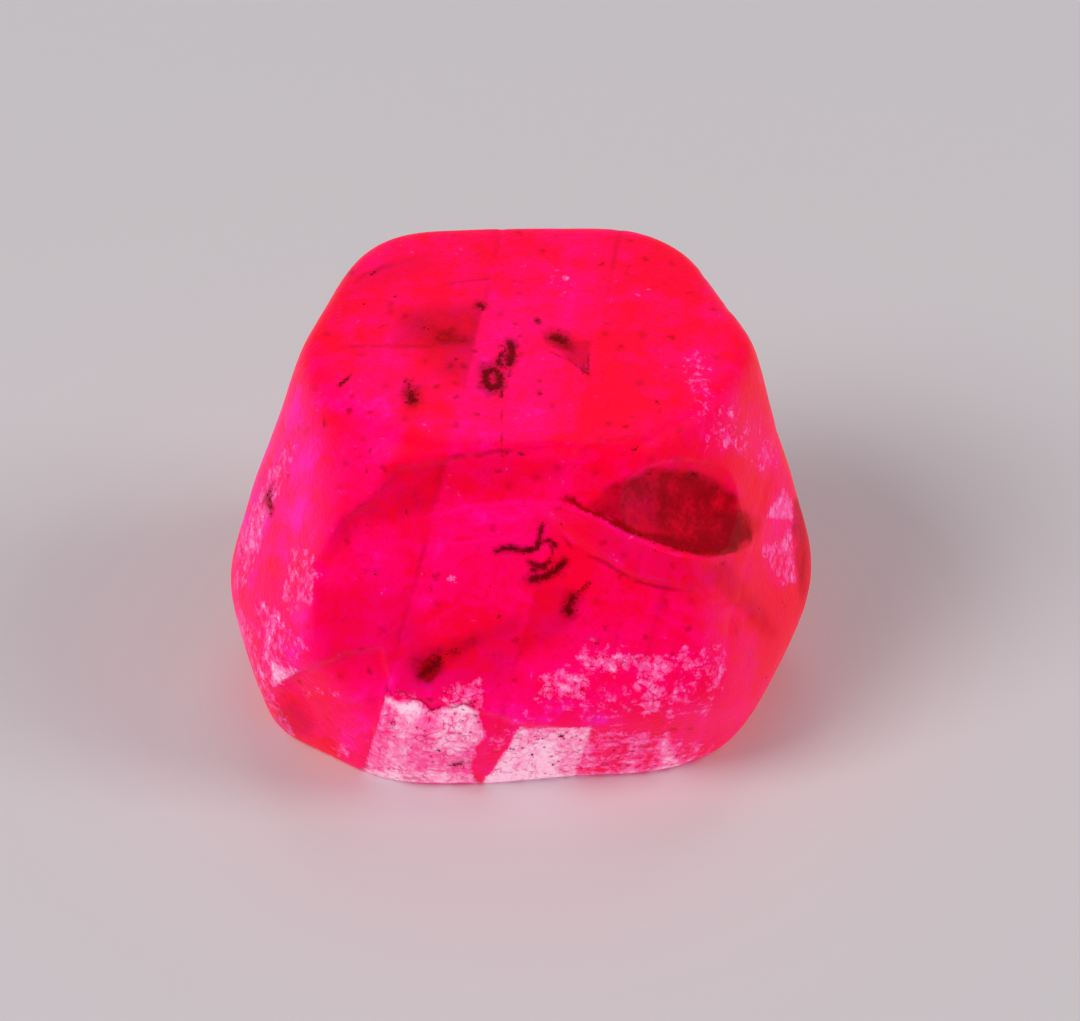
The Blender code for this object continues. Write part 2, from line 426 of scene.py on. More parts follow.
reach += LUMP_HEIGHT * lumps(plain, LUMP_SIZE) - tread_drop
reach += faces_sheet * (lip_rise - ledge_drop) - groove_drop(plain)
for scoop in scoops:
    reach = scooped_reach(reach, scoop)
down = aims[:, 2] < 0
reach[down] = np.minimum(reach[down], HEART[2] / -aims[down, 2])  # the flat base
places = HEART + aims * reach[:, None]
skin.vertices.foreach_set("co", (places * MM).ravel())
skin.update()
print("finished form in mm:", np.ptp(places, axis=0).round(2))

# %% The crystal's object
crystal = bpy.data.objects.new("ruby_crystal_skin", skin)
scene.collection.objects.link(crystal)
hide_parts("ruby_crystal")
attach(crystal, "root")
print("the skin has", len(skin.polygons) * 2, "triangles")

# %% [markdown]
# ## What is painted on the stone
# Light that comes through ruby is coloured by how far it has travelled and by what it met on the
# way. Thick or smoky parts come out deep red, bruised skin scatters light and looks frosted,
# almost white, and where the stone is thin the red turns pinker. The same deep red is also painted
# as shade in the hollow, along its lip and under the arch. Each of these is a field: one number for
# every corner of the mesh, painted with soft, slightly ragged outlines on the sheet. An outline may
# be cut off along a parting plane, because that is where a plate of the crystal ends.

# %% The brush for areas
PLATE_EDGE = 0.12  # how softly an outline ends at a parting plane
RAGGED = 0.12  # how far an outline strays from its ruled line
SMALL_WIGGLE, LARGE_WIGGLE = 0.7, 2.2

front_spots = np.column_stack([places[:, 0], places @ lean_up])
in_sight = ramp(towards_sheet + 0.1, 0.2)  # the paint reaches a little round the rim
wiggle = np.column_stack([lumps(places, SMALL_WIGGLE, 3), lumps(places, LARGE_WIGGLE, 5)])
plate_place = places @ PARTING_NORMAL


def painted(areas, ragged=RAGGED):
    """The sum of soft outlined areas, each with its own softness and strength."""
    field = np.zeros(len(places))
    edge = front_spots + ragged * wiggle
    for outline, soft, strength, *cut in areas.values():
        patch = inside(outline, edge, soft)
        if cut:
            parting, side = cut
            patch *= ramp(side * (plate_place - PARTINGS[parting]), PLATE_EDGE)
        field += strength * patch
    return field * in_sight


print("painted from the sheet:", int((in_sight > 0.5).sum()), "corners")

# %% The brushes for dots and lines
LINE_REACH = 0.3  # beyond this far from a line, its depth dies away


def dotted(wanted, size, spots):
    """A soft dot at each wanted spot of the sheet."""
    field = np.zeros(len(places))
    for spot in wanted:
        gap = np.linalg.norm(spots - spot, axis=1)
        field = np.maximum(field, np.exp(-((gap / size) ** 2)))
    return field * in_sight


def drawn(lines, spread=1.0):
    """The strongest of several thin lines, each with its own width and strength."""
    field = np.zeros(len(places))
    for line, width, strength in lines.values():
        distance = beside(line, front_spots)[0]
        field = np.maximum(field, strength * np.exp(-((distance / (spread * width)) ** 2)))
    return field * in_sight


def nearest_line(lines):
    """Each corner's signed distance from its nearest line, in line widths, and its depth there."""
    side = np.full(len(places), 9.0)
    depth = np.zeros(len(places))
    for line, width, strength in lines.values():
        distance, share = beside(line, front_spots)
        closer = np.abs(distance / width) < np.abs(side)
        side = np.where(closer, distance / width, side)
        there = strength * taper(share) * np.exp(-((distance / LINE_REACH) ** 2))
        depth = np.where(closer, there, depth)
    return side, depth * in_sight


print("a line's depth dies away", LINE_REACH, "mm from it")

# %% [markdown]
# ## Smoke and shade
# Smoke is the deep red of the smudge on the top and the veils on the front. The same field holds
# painted shade: the deep red in the hollow and under the arch, and the painted shadow along the
# hollow's lip and under its right end. Broad faint outlines under small strong ones give each a
# soft rim and a dark heart.

# %% Smoke and painted shade: the deep red areas
# the outline, how soft its edge is, how strong it is, and where a parting plane cuts it off
SMOKE_AND_SHADE = {
    # painted shade in the hollow, in three layers from its rim to its deepest part
    "hollow": (((2.3, 5.65), (3.2, 6.3), (4.5, 6.9), (6.1, 7), (7.1, 6.8), (7.7, 6.2), (8.3, 5.5),
        (8.7, 5.1), (8.5, 4.4), (7.7, 4.05), (6.7, 3.95), (5.8, 4), (4.4, 4.45),
        (3.2, 5.1)), 0.35, 0.6),
    "hollow_right": (((4.9, 6.9), (6.9, 6.8), (7.7, 6.1), (8.5, 5.1), (8.4, 4.4), (6.7, 4),
        (5.1, 4.2)), 0.4, 0.22),
    "hollow_deep": (((6.4, 6.1), (7.1, 6.4), (7.7, 5.9), (8.3, 5.2), (8.5, 4.9), (8.4, 4.4),
        (7.5, 4.2), (6.4, 4.3)), 0.5, 0.18),
    "lip_shadow": (((2.3, 5.6), (4.6, 4.65), (6.8, 4.2), (8.2, 4.4), (8.2, 4.05), (6.8, 3.85),
        (4.6, 4.3)), 0.18, 0.4),
    "far_left_top": (((-6.9, 13.4), (-5.2, 14.8), (-3.5, 15.3), (-3.4, 14.6),
        (-5.5, 13.9)), 0.6, 0.12),
    "smudge": (((-4.6, 12.8), (-3.2, 13.1), (-0.9, 13.3), (-1.3, 12.4), (-1.7, 9.9), (-3.2, 10.4),
        (-3.8, 11.5), (-4.8, 11.7)), 0.9, 0.27, "left", -1),
    "smudge_deep": (((-4.2, 12.5), (-2.8, 12.9), (-1.3, 13), (-1.7, 11.4),
        (-3.8, 11.7)), 1.1, 0.2, "left", -1),
    "smudge_core": (((-3.4, 12.2), (-2.5, 12.4), (-2, 11.7), (-3.3, 11.75)), 0.4, 0.4),
    "wedge": (((0.9, 11.8), (2.6, 11.9), (2.4, 10.5), (1.6, 11.1)), 0.18, 0.42),
    "wedge_deep": (((0.6, 12.1), (1.5, 12.1), (1.9, 11.4), (1.2, 11.5)), 0.3, 0.3),
    # painted shade under the arch, where the front is steeper, in the next three areas
    "arch_left": (((-4.5, 7.1), (-2.4, 7.5), (-2.6, 5.9), (-4.7, 5.1), (-5.8, 4.9), (-6.6, 4.3),
        (-6.6, 5.1), (-5.6, 5.9)), 0.5, 0.25, "left", -1),
    "arch_band": (((-3.1, 7.2), (1.4, 7.6), (1.4, 6.7), (-3.1, 5.9)), 0.5, 0.1),
    "arch_foot": (((-6.9, 5.1), (-6.5, 5.3), (-6.4, 4.4), (-6.9, 3.8), (-7.1, 4.4)), 0.4, 0.15),
    "front_left": (((-7.6, 2.5), (-4, 2.7), (-4, -0.4), (-7.4, -0.4)), 1.2, 0.1, "left", -1),
    "cloud": (((-4.2, 0.1), (-3.4, 0.6), (-2.4, 0.8), (-1.7, 0.9), (-1.6, 0.5), (-2.4, 0.1),
        (-3, -0.4), (-3.6, -0.8), (-4.1, -0.5)), 0.5, 0.4),
    "cloud_arm": (((-1.9, 0.9), (-1, 1.25), (-0.2, 1.6), (-0.1, 1.1), (-1, 0.7),
        (-1.8, 0.5)), 0.5, 0.15),
    "cloud_deep": (((-3.8, 0), (-3.3, 0.2), (-3, -0.2), (-3.4, -0.8), (-3.9, -0.7)), 0.3, 0.5),
    "shade": (((-4.3, 2.1), (-3.2, 0.2), (-1.7, 1.1), (-0.2, 1.6), (0.2, 0.6), (-0.9, -1),
        (-4.7, -1.3)), 0.9, 0.16),
    "middle_shade": (((-0.2, 3), (1.9, 2.6), (1.8, 1.2), (0.9, 0.5),
        (-0.3, 0.2)), 0.6, 0.22, "middle", 1),
    "lip_band": (((2.5, 5), (4.4, 4.1), (6.3, 3.6), (8.2, 3.8), (6.7, 2.4), (5.2, 2.5), (4.2, 2.9),
        (2.9, 3.8)), 0.5, 0.12),
    "corner": (((-9.3, -1.9), (-8.5, -1.6), (-7.7, -2.5), (-8.5, -3.2), (-9.2, -2.6)), 0.5, 0.25),
    "crescent": (((10.1, 6), (10.6, 6), (11, 5.1), (11.4, 4.1), (11.4, 2.4), (10.9, 1.6),
        (10.4, 2.2), (10.3, 3.4), (10.2, 4.4), (10.1, 5.1)), 0.18, 0.5),
    # painted shadow under the hollow's right end
    "under_hollow": (((6.9, 3.6), (7.7, 3.5), (8.7, 2.2), (9.6, 0.8), (9.1, 0.6), (8, 1.9),
        (7, 2.8)), 0.5, 0.28),
    "left_streak": (((-9.2, 6.7), (-9.4, 6.2), (-9.3, 5.4), (-9.5, 5.4), (-9.7, 5.8)), 0.15, 0.6),
    "right_line": (((5.4, 2.7), (5, 1.3), (4.4, -0.6), (4.2, -0.6), (4.7, 1.3),
        (5, 2.7)), 0.3, 0.09),
}
SMOKE_SPOTS = (
    (-6.4, 14.4), (-5, 13.2), (-5, 12.9), (-4.4, 12.7), (-2.7, 10.8), (-2.2, 10.8), (-3.7, 11),
    (-7.7, 10), (-8, 8.4), (-5.1, 10.1), (-6.3, 9.7), (-4.3, 8.9), (-2.5, 8.7), (-1.6, 8),
    (-0.9, 12.8), (4.4, 12), (4.3, 10.2), (5.8, 8.4), (4.7, 7.3), (5.7, 7.3), (4.1, 7.7),
    (3.1, 8.7), (0.6, 9.8), (3.6, 11.6), (1.1, 9.4), (1.2, 7.1), (-0.6, 6.4), (0.5, 6.7),
    (3.4, 6.4), (2.7, 6.9), (6.2, 2.1), (7.4, 3.6), (3.7, 3.8), (-3.2, 2.1), (2.7, 2.1),
    (-6.5, 7.2), (-5.9, 8.1),
)
SMOKE_SPOT_SIZE = 0.13
SMOKE_SPOT_STRENGTH = 0.45
SMOKE_AND_SHADE_STRENGTH = 1.1
SMOKE_AND_SHADE_RAGGED = 0.22

# the field holds smoke and the painted shade and shadows listed above
smoke_and_shade = SMOKE_AND_SHADE_STRENGTH * painted(SMOKE_AND_SHADE, SMOKE_AND_SHADE_RAGGED)
ragged_spots = front_spots + RAGGED * wiggle
smoke_and_shade += SMOKE_SPOT_STRENGTH * dotted(SMOKE_SPOTS, SMOKE_SPOT_SIZE, ragged_spots)
print("smoke covers", round(100 * (smoke_and_shade > 0.2).mean(), 1), "% of the stone")

# %% [markdown]
# ## Frost
# Frost lies where the stone was knocked and rubbed: along the foot, on both side rims and on the
# right-hand ridge. Two plates at the foot are frosted up to their parting planes, like pale tiles.

# %% Frost: the bruised, whitish areas
FROST = {
    "left_tile": (((-5.5, -1.3), (-4.6, -1.6), (-4, -1.6), (-3.2, -1.9), (-2.4, -1.7), (-1.6, -2),
        (-1.4, -2.7), (-1.9, -3.9), (-1.7, -4.8), (-7, -4.7), (-5.9, -3)), 0.3, 0.98, "left", 1),
    "left_tile_top": (((-5.2, -1.6), (-4.9, -1.2), (-4, -1.2), (-3.7, -1.6), (-4.1, -2),
        (-4.6, -2.1)), 0.25, 0.5, "left", 1),
    "left_tile_light": (((-3.3, -1.9), (-1.7, -1.9), (-1.5, -2.8), (-2.4, -3.6),
        (-3.2, -3.4)), 0.4, 0.3),
    "left_triangle": (((-9.5, -0.1), (-8.4, -0.5), (-9.3, -1.05)), 0.15, 0.6),
    "streaked": (((-3, -1), (-1.5, -0.7), (-1.4, -1.7), (-1.7, -2), (-3.2, -1.9)), 0.3, 0.72),
    "middle_tile": (((-0.1, -2.6), (2.9, -2.5), (2.9, -4.9),
        (-1.7, -4.9)), 0.16, 1.12, "short_right", -1),
    "middle_tile_light": (((-0.5, -3.3), (1.1, -3), (1.3, -4.4), (-1.4, -4.7)), 0.4, 0.22),
    "wedge_speck": (((-1.3, -2.3), (-0.2, -2.5), (-0.9, -3.6), (-1.5, -3.8)), 0.35, 0.5),
    "right_band": (((2.4, -2.6), (5.5, -2.7), (5.4, -3.7), (6.3, -4.1), (6.3, -4.9),
        (1.7, -4.9)), 0.45, 0.68, "short_right", 1),
    "right_cloud": (((4.4, -0.8), (5.6, 0.6), (7.5, 0.6), (7.6, -0.9), (6.8, -2.2), (5.2, -2.4),
        (4.5, -1.9)), 0.7, 0.5),
    "row_top": (((2, 0.1), (5.1, 0.2), (5.2, -0.3), (2.5, -0.4)), 0.3, 0.32),
    "row_middle": (((0.4, -0.5), (2.3, -0.6), (2.3, -1.5), (0.4, -1.4)), 0.4, 0.34),
    "between": (((2.3, 0.6), (4.8, 0.6), (4.8, -2.5), (-0.2, -2.3), (0.2, -1.3)), 0.8, 0.38),
    "low_right": (((5.2, -3.1), (7.1, -3.2), (7.3, -3.8), (6.3, -4.3), (5.3, -4)), 0.6, 0.5),
    "right_ridge": (((5.9, 11.2), (6.8, 11.3), (7.6, 9.6), (9.3, 8.7), (9.7, 7), (8.4, 6.9),
        (7.6, 7.3), (6.5, 8.5), (5.8, 10)), 0.9, 0.39),
    "right_blob": (((9.75, 6.45), (10.05, 6), (10.1, 5.2), (9.8, 5.1), (9.05, 5.2),
        (9.35, 5.8)), 0.2, 0.9),
    "under_blob": (((8.8, 4.2), (9.6, 4.5), (10.1, 4.9), (10.2, 3.6), (10.3, 2.8), (9.6, 2.7),
        (9.1, 3.4)), 0.35, 0.78),
    "left_rim": (((-8.6, 8.2), (-8.4, 7.7), (-9, 6.2), (-9.7, 4.8), (-10.1, 3.2), (-10.5, 2.4),
        (-11.2, 2.4), (-11, 3.9), (-10.2, 5.7), (-9.4, 7.2)), 0.35, 0.56),
    "left_patch": (((-8.6, 4.1), (-7.8, 4.2), (-7.6, 3), (-7.8, 1.9), (-8.7, 1.6), (-9.1, 2),
        (-8.8, 3.4)), 0.3, 0.62),
    "left_low": (((-10, 2.4), (-8.9, 1.6), (-7.8, 0.2), (-8.5, -0.5), (-9.1, -1.3), (-9.7, -0.6),
        (-10.3, 1)), 0.5, 0.55),
    "left_low_rim": (((-11.3, 2.2), (-10.6, 2.2), (-10, 0.2), (-9.1, -1.7), (-8.5, -3),
        (-9.3, -3.2), (-10.4, -1.3)), 0.35, 0.72),
    "left_spots": (((-8.3, -1), (-6.9, -1), (-6.8, -1.4), (-8.1, -1.6)), 0.4, 0.45),
    "foot_spots": (((-7.5, -3.2), (-6.6, -3.2), (-6.5, -3.8), (-7.4, -3.8)), 0.3, 0.5),
    "bottom_rim": (((-7.4, -3.9), (-6, -4.2), (-1.7, -4.4), (2.9, -4.3), (6.3, -4), (7.5, -3.3),
        (7.8, -3.7), (6.3, -4.9), (-1.7, -5.1), (-7, -4.9)), 0.2, 0.3),
}
frost = painted(FROST)
print("frost covers", round(100 * (frost > 0.5).mean(), 1), "% of the stone")

# %% [markdown]
# ## Blush
# Blush shifts the red itself: above zero it turns pinker, as where the stone is thin, and below
# zero redder. Along the foot its pinker shift is painted light coming up through the base, and
# under the arch its redder one is painted shade. Its outlines are large and very soft, so that none
# of their edges show.

# %% Blush: where the red turns pinker, or redder
BLUSH = {
    "left_side": (((-11.6, 9.7), (-8.5, 10.5), (-7.4, 7.8), (-7.1, 4.4), (-7.7, 0.6), (-8.9, -1.3),
        (-12.3, -1.7)), 1.4, 0.95),
    "left_face": (((-8.5, 10.5), (-4.7, 12.4), (-4.7, 7.4), (-7, 5.1), (-8.1, 5.1)), 1.4, 0.25),
    "front_glow": (((-3.7, 5.4), (0.6, 5.9), (1.4, 5.1), (0.6, 2.5), (-2.1, 1.9),
        (-3.6, 2.2)), 1.2, 0.45),
    "front_left": (((-7.4, 3.6), (-4.7, 4.8), (-4.3, 2.9), (-7, 2.1)), 0.9, 0.3),
    "top_column": (((-1.8, 13.5), (2.0, 13.5), (1.0, 7.4), (-2.9, 7.4)), 0.4, 0.3),
    "top_back": (((-4.7, 15.4), (-2.1, 15.8), (6.3, 15.6), (6.7, 13.5), (-0.9, 13.9),
        (-4, 13.5)), 0.8, -0.2),
    "top_right": (((2.9, 12.4), (6.3, 12.4), (6.3, 7), (1.7, 7.4)), 1.6, -0.3),
    # pinker along the foot: painted light coming up through the base
    "low_front": (((-7, -0.6), (9, 0.6), (8.2, -5.1), (-7, -5.1)), 1.2, 0.5),
    "left_of_tile": (((-8.5, -1.3), (-5, -1.3), (-5.8, -4.4), (-8.5, -3.2)), 0.8, 0.1),
    "right_side": (((8, 13.5), (12, 9.7), (12, 0.2), (10.1, -0.2), (9.4, 3.6), (10.1, 6.7),
        (9, 9.7)), 0.9, -0.55),
    "right_pearl": (((9.3, 6.1), (10, 6.5), (10.4, 5.2), (10.4, 2.8), (9.5, 2.6),
        (8.8, 4.2)), 0.6, 1.2),
    "right_ridge": (((5.9, 11.2), (6.8, 11.3), (9.3, 8.7), (9.7, 7), (8.4, 6.9),
        (6.5, 8.5)), 1.2, 0.45),
    "right_low": (((6.7, 2.5), (10.5, 2.1), (9, -1.3), (7.8, -1.3)), 1.2, -0.15),
    # redder under the arch: painted shade where the front is steeper
    "below_arch": (((-4.7, 7), (1.4, 7.5), (1.4, 6.1), (-4.7, 5.5)), 0.6, -0.2),
}
BLUSH_STRENGTH = 0.8

blush = BLUSH_STRENGTH * painted(BLUSH)
print("blush runs from", round(blush.min(), 2), "to", round(blush.max(), 2))

# %% [markdown]
# ## Hairlines
# Ledges end in a thin dark line, painted shade where the surface steps down, and cracks catch the
# light as a pale one, a painted highlight. Such a line is finer than the mesh. So the mesh carries
# each corner's distance from the nearest line, which changes evenly from corner to corner, and the
# material draws the thin line from it.

# %% Dark and pale hairlines
# dark lines: those along the arch, the lip, the ripple and the corner ledge are painted shade where
# the surface steps down; the others are cracks and fine dark marks
# the line, its width and its strength
EDGES = {
    "arch": (((-3, 7.3), (-2.4, 7.5), (-1.7, 7.5), (-0.9, 7.7), (-0.2, 7.7), (0.8, 7.8),
        (1.4, 7.7)), 0.09, 0.5),
    "arch_side": (((-4.5, 7), (-5, 6.5), (-5.6, 5.9), (-6.2, 5.5), (-6.7, 5.1), (-7.1, 4.4),
        (-7.4, 3.5)), 0.05, 0.25),
    "lip": (((1.2, 6), (1.7, 5.9), (2.2, 5.6), (3.2, 5.1), (4, 4.7), (5, 4.3), (5.9, 4), (6.9, 3.9),
        (7.8, 4), (8.6, 4.4)), 0.1, 1.0),
    "ripple": (((1.4, 4.6), (1.8, 4.1), (3.1, 3.5), (4.2, 2.9), (5.3, 2.6),
        (6.4, 2.5)), 0.08, 0.55),
    "corner": (((-9.4, -1.3), (-8.5, -0.6), (-8, -0.4), (-7, 0.1), (-5.6, 0.35)), 0.09, 0.12),
    "fault": (((-4.8, -1.2), (-4.4, -1.25), (-4.1, -1.5), (-3.8, -1.5), (-3.4, -1.95), (-3, -1.75),
        (-2.6, -1.8), (-2.2, -1.65), (-1.6, -1.9)), 0.05, 0.8),
    "top_far": (((-6.5, 13.9), (-6, 14.3), (-5.3, 14.6), (-4.7, 14.8), (-4, 15)), 0.09, 0.4),
    "top_near": (((-3.6, 13.8), (-2.7, 14), (-1.9, 14.1), (-1, 14.2), (-0.5, 14.1),
        (0.1, 14)), 0.06, 0.4),
    "smudge_foot": (((-7.2, 11.5), (-5.9, 11.6), (-4.7, 11.6), (-3.8, 11.6),
        (-2.6, 11.7)), 0.09, 0.4),
    "left_dash": (((-5.6, 12.2), (-5.2, 12.4), (-4.9, 12.5)), 0.035, 0.4),
    "wedge_side": (((2.6, 11.8), (2.4, 11.2), (2.4, 10.5)), 0.05, 0.8),
    "wedge_foot": (((0.8, 11.5), (1.4, 11.2), (1.8, 11), (2.4, 10.5)), 0.05, 0.7),
    "lamella": (((-0.8, 9.7), (-0.8, 8.9), (-0.8, 7.8)), 0.06, 0.65),
    "hollow_top": (((4.4, 7), (5.2, 7), (6.3, 6.9)), 0.05, 0.35),
    "over_hollow": (((1.8, 7.5), (2.4, 7.8), (3.3, 8.1), (4.2, 8.2), (4.9, 8)), 0.1, 0.2),
}
# pale lines: painted highlights where the ridges, the lip, the ripple and the cracks catch the
# light
PALE = {
    "ridge_one": (((-3.8, 5.2), (-2.1, 5.6), (-0.2, 5.8), (1.6, 5.7)), 0.11, 0.4),
    "ridge_two": (((-3.2, 4.7), (-1.3, 5.1), (0.6, 5.3), (1.6, 5.2)), 0.13, 0.35),
    "ridge_three": (((-3.6, 4.1), (-1.7, 4.4), (0.2, 4.6)), 0.1, 0.35),
    "lip_light": (((1.2, 5.8), (2.2, 5.4), (3.2, 4.9), (4.4, 4.3), (5.7, 3.9),
        (6.7, 3.7)), 0.09, 0.45),
    "ripple_light": (((1.4, 4.8), (1.8, 4.4), (3.1, 3.8), (4.2, 3.2), (5.3, 2.9)), 0.08, 0.3),
    "left_cross": (((-10, 2.4), (-9.5, 1.6), (-9.2, 1.5), (-8.6, 0.9), (-7.9, 0.2)), 0.08, 0.9),
    "left_down": (((-9.2, 1.5), (-9.7, 0.4), (-9.6, -0.2), (-9.2, -0.8)), 0.09, 0.9),
    "left_point": (((-9.4, 0.1), (-8.9, -0.2), (-8.5, -0.5), (-9.4, -1.1)), 0.08, 0.9),
    "far_right_edge": (((6.3, 11), (7.1, 8.9), (8, 7.6), (9.3, 6.7)), 0.08, 0.4),
}
edge_side, edge_depth = nearest_line(EDGES)
pale_side, pale_depth = nearest_line(PALE)
print(len(EDGES), "dark lines and", len(PALE), "pale ones")

# %% [markdown]
# ## Grit
# The dark mineral grains lie in rings, strings and knots. Each is a stroke of the grit field,
# which later says how thickly the grains are strewn. The halo is the same strokes drawn wider,
# because the ruby around a cluster is stained. Sparks are single bright flecks, added to the frost
# field.

# %% Grit: strokes of dark mineral grains
GRIT = {
    "upper_ring": (((-0.5, 11.7), (-0.45, 11.5), (-0.45, 11.2), (-0.5, 10.9)), 0.13, 1.0),
    "upper_side": (((-0.6, 11.5), (-0.85, 11.3), (-0.95, 11), (-0.75, 10.8)), 0.1, 0.75),
    "upper_core": (((-0.65, 11.3), (-0.55, 11.1)), 0.12, 0.7),
    "upper_tail": (((-0.5, 10.7), (-0.55, 10.6)), 0.09, 0.6),
    "lower_ring": (((-1.1, 10.7), (-0.9, 10.5), (-0.9, 10.1), (-1.2, 10), (-1.4, 10.3),
        (-1.4, 10.6), (-1.1, 10.7)), 0.15, 1.0),
    "ring_tail": (((-0.9, 10.1), (-0.8, 9.7)), 0.07, 0.8),
    "ring_dot": (((-0.9, 11.6), (-0.8, 11.6)), 0.06, 0.7),
    "left_spot": (((-4.15, 9.75), (-4.1, 9.6)), 0.19, 1.0),
    "left_spot_tail": (((-4.35, 10.3), (-4.2, 9.9)), 0.08, 0.5),
    "line_spot": (((-1.7, 13.2), (-1.5, 13.1)), 0.09, 0.9),
    "small_spot": (((0.5, 12.6), (0.6, 12.5)), 0.06, 0.8),
    "wedge_spot": (((1.1, 11.9), (1.3, 11.9), (1.5, 11.8)), 0.16, 1.0),
    "wedge_tip": (((2.2, 10.7), (2.4, 10.5)), 0.05, 0.7),
    "bar": (((-1, 4), (-0.5, 4.1), (0, 4), (0.5, 4.1)), 0.08, 0.9),
    "upright": (((0.7, 4.9), (0.6, 4.6), (0.5, 4.1)), 0.07, 0.9),
    "right_arm": (((0.5, 4.3), (1, 4.4), (1.2, 4.2)), 0.07, 0.8),
    "hook": (((1, 4.2), (1.1, 3.9), (0.9, 3.6)), 0.05, 0.6),
    "crook": (((0.3, 3.3), (0.6, 3.4), (1, 3.6)), 0.08, 0.9),
    "long_mark": (((0.3, 2.95), (0.8, 3.05), (1.2, 3.3), (1.5, 3.6)), 0.13, 1.0),
    "inner_mark": (((0.2, 3.6), (0.5, 3.45), (0.8, 3.35)), 0.09, 0.8),
    "lower_arm": (((2.4, 2.8), (2.1, 2.5), (1.8, 2.3)), 0.07, 0.8),
    "lower_mass": (((1.85, 2.3), (1.65, 2), (1.7, 1.75)), 0.15, 1.0),
    "cloud_spot": (((-3.75, -0.6), (-3.5, -0.4), (-3.1, -0.05)), 0.15, 0.95),
    "cloud_small": (((-2.8, 0.15), (-2.5, 0.3)), 0.08, 0.4),
    "streak": (((-9.4, 6.4), (-9.5, 5.7), (-9.4, 5.3)), 0.09, 0.42),
    "left_dash": (((-6.8, 10.1), (-6.6, 10.3), (-6.4, 10.5)), 0.05, 0.8),
    "right_fleck": (((4.9, 9.5), (5, 9.1)), 0.06, 0.4),
    "hollow_flecks": (((4.6, 6.8), (4.7, 6.9)), 0.05, 0.7),
    "hollow_fleck_two": (((6.2, 6.9), (6.3, 6.8)), 0.05, 0.7),
    "lip_edge": (((3.2, 5.1), (4, 4.7), (5, 4.3), (6, 4), (7, 3.95), (7.9, 4.1)), 0.06, 0.45),
    "lip_start": (((1.6, 6), (1.8, 5.9)), 0.08, 0.6),
    "arch_flecks": (((-0.8, 7.6), (-0.6, 7.6)), 0.06, 0.5),
    "arch_fleck_two": (((-0.2, 7.6), (0, 7.6)), 0.06, 0.5),
    "tile_mark": (((-2.6, -4), (-2.3, -3.9)), 0.09, 0.6),
}
SPECKS = (
    (-3.7, 12.3), (-5.6, 14.4), (-2.5, 11.1), (-6.2, 7.8), (-4.8, 13.5), (3.6, 11.6), (0.6, 9.8),
    (4.1, 7.7), (3.1, 8.7), (-4.3, 5.4), (-0.9, 1.6), (2.7, 0.6), (1.4, 5), (1.1, -4), (-4.9, -2.4),
    (-0.4, -3.4), (9.8, 1.9), (-3.2, -3.4), (0.8, -3), (1.9, -3.5), (-4.5, -3.4), (-3.8, -2.9),
    (-2.4, -2.8), (1.4, -2.9), (0.3, -3.6),
)
SPECK_SIZE = 0.07
SPECK_STRENGTH = 0.8
SPARKS = (
    (1.6, 14.2), (1.4, 13.6), (4.4, 13.5), (4.7, 13.8), (-2.7, 3), (-2.5, 2.9), (-3.7, 3.2),
    (3.3, -0.4),
)
SPARK_SIZE = 0.16
SPARK_STRENGTH = 0.7
HALO_SPREAD = 2.4

halo = drawn(GRIT, spread=HALO_SPREAD)
specks = SPECK_STRENGTH * dotted(SPECKS, SPECK_SIZE, front_spots)
grit = np.maximum(drawn(GRIT), specks)
frost += SPARK_STRENGTH * dotted(SPARKS, SPARK_SIZE, front_spots)
print("grit covers", round(100 * (grit > 0.5).mean(), 2), "% of the stone")

# %% [markdown]
# ## The far side
# Nothing is drawn on the back of the stone. It gets the same kinds of marks, strewn by smooth
# noise at the sizes that they have on the front: broad smoke and frost, some smaller patches of
# both, and a few specks. Then every field is stored on the mesh under its own name.

# %% Marks on the far side
# how strong, then the islands' size, their draw of noise, how rare and how soft they are
FAR_FROST = ((0.75, 4.0, 11, 0.22, 0.3), (0.3, 1.6, 31, 0.3, 0.2))
FAR_SMOKE = ((0.4, 4.5, 21, 0.2, 0.4), (0.15, 1.5, 41, 0.3, 0.2))
FAR_SPECKS = ((0.5, 0.8, 61, 0.62, 0.08),)
FAR_BLUSH = 0.35
BROAD_ZONE = 5.0

far_side = ramp(-towards_sheet - 0.2, 0.2)


def strewn(islands):
    """The sum of several kinds of soft islands of noise on the far side."""
    return sum(strength * (far_side * ramp(lumps(places, size, draw) - rare, soft))
               for strength, size, draw, rare, soft in islands)


frost += strewn(FAR_FROST)
smoke_and_shade += strewn(FAR_SMOKE)
blush += FAR_BLUSH * far_side * lumps(places, BROAD_ZONE, 51)
clusters = lumps(places, BROAD_ZONE, 71) > 0.05  # specks keep to some zones of the stone
grit = np.maximum(grit, strewn(FAR_SPECKS) * clusters)
print("the far side has", int((far_side > 0.5).sum()), "corners")

# %% Store the fields on the mesh
FIELDS = {
    "smoke_and_shade": smoke_and_shade, "frost": frost, "blush": blush, "grit": grit, "halo": halo,
    "edge_side": edge_side, "edge_depth": edge_depth,
    "pale_side": pale_side, "pale_depth": pale_depth,
}
for name, field in FIELDS.items():
    skin.attributes.new(name, "FLOAT", "POINT").data.foreach_set("value", field)
print("fields:", ", ".join(FIELDS))

# %% [markdown]
# ## Tools for building with nodes
# Both the strewn grains and the materials are node trees. A few small helpers keep their recipes
# short. One adds a node and sets or links its inputs. The others do arithmetic, mix colours,
# stretch values and add up weighted ones, in whichever tree their first socket belongs to.

# %% Adding nodes
def is_socket(value):
    """Whether a value comes from another node, instead of being a plain number or colour."""
    return isinstance(value, bpy.types.NodeSocket)


